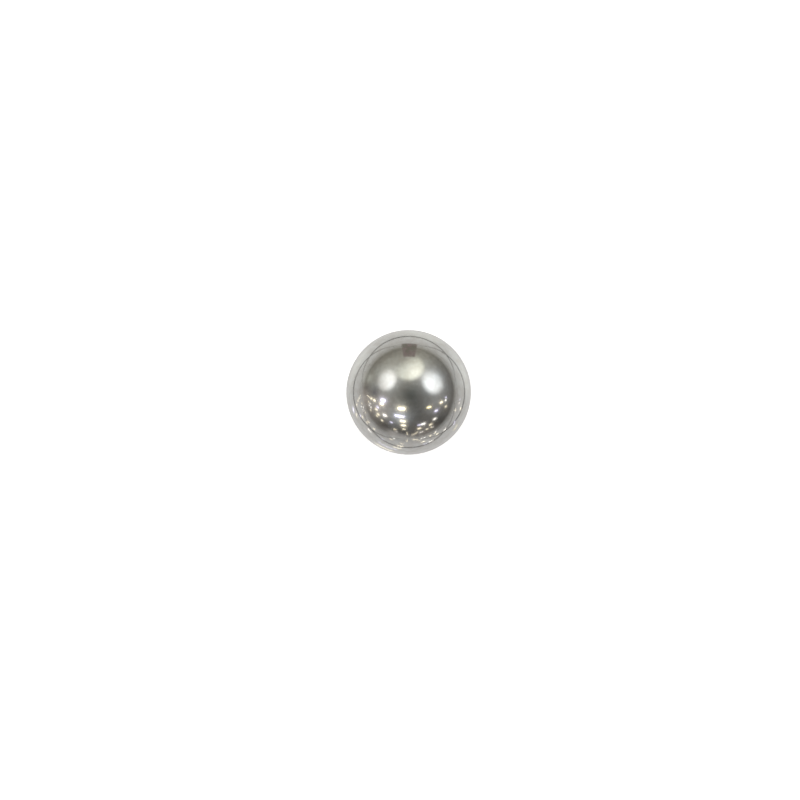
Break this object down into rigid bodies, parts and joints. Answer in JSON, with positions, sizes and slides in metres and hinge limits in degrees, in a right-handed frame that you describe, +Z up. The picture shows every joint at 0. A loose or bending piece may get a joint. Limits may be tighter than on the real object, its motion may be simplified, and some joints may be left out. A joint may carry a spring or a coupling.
{
  "type": "steel ball",
  "caption": "Solid polished steel ball, for rolling on tracks, sitting in a cup or socket, serving as a loose bearing ball, or use as a small weight on a bench or desk.",
  "frame": {"origin": "centre of the ball", "axes": "+Z up, away from whatever holds the ball; the ball looks the same about every axis, so X and Y are free choices"},
  "size_m": [0.025, 0.025, 0.025],
  "materials": {
    "polished_steel": "polished"
  },
  "bodies": {
    "root": {"ball": "polished_steel"}
  },
  "joints": []
}
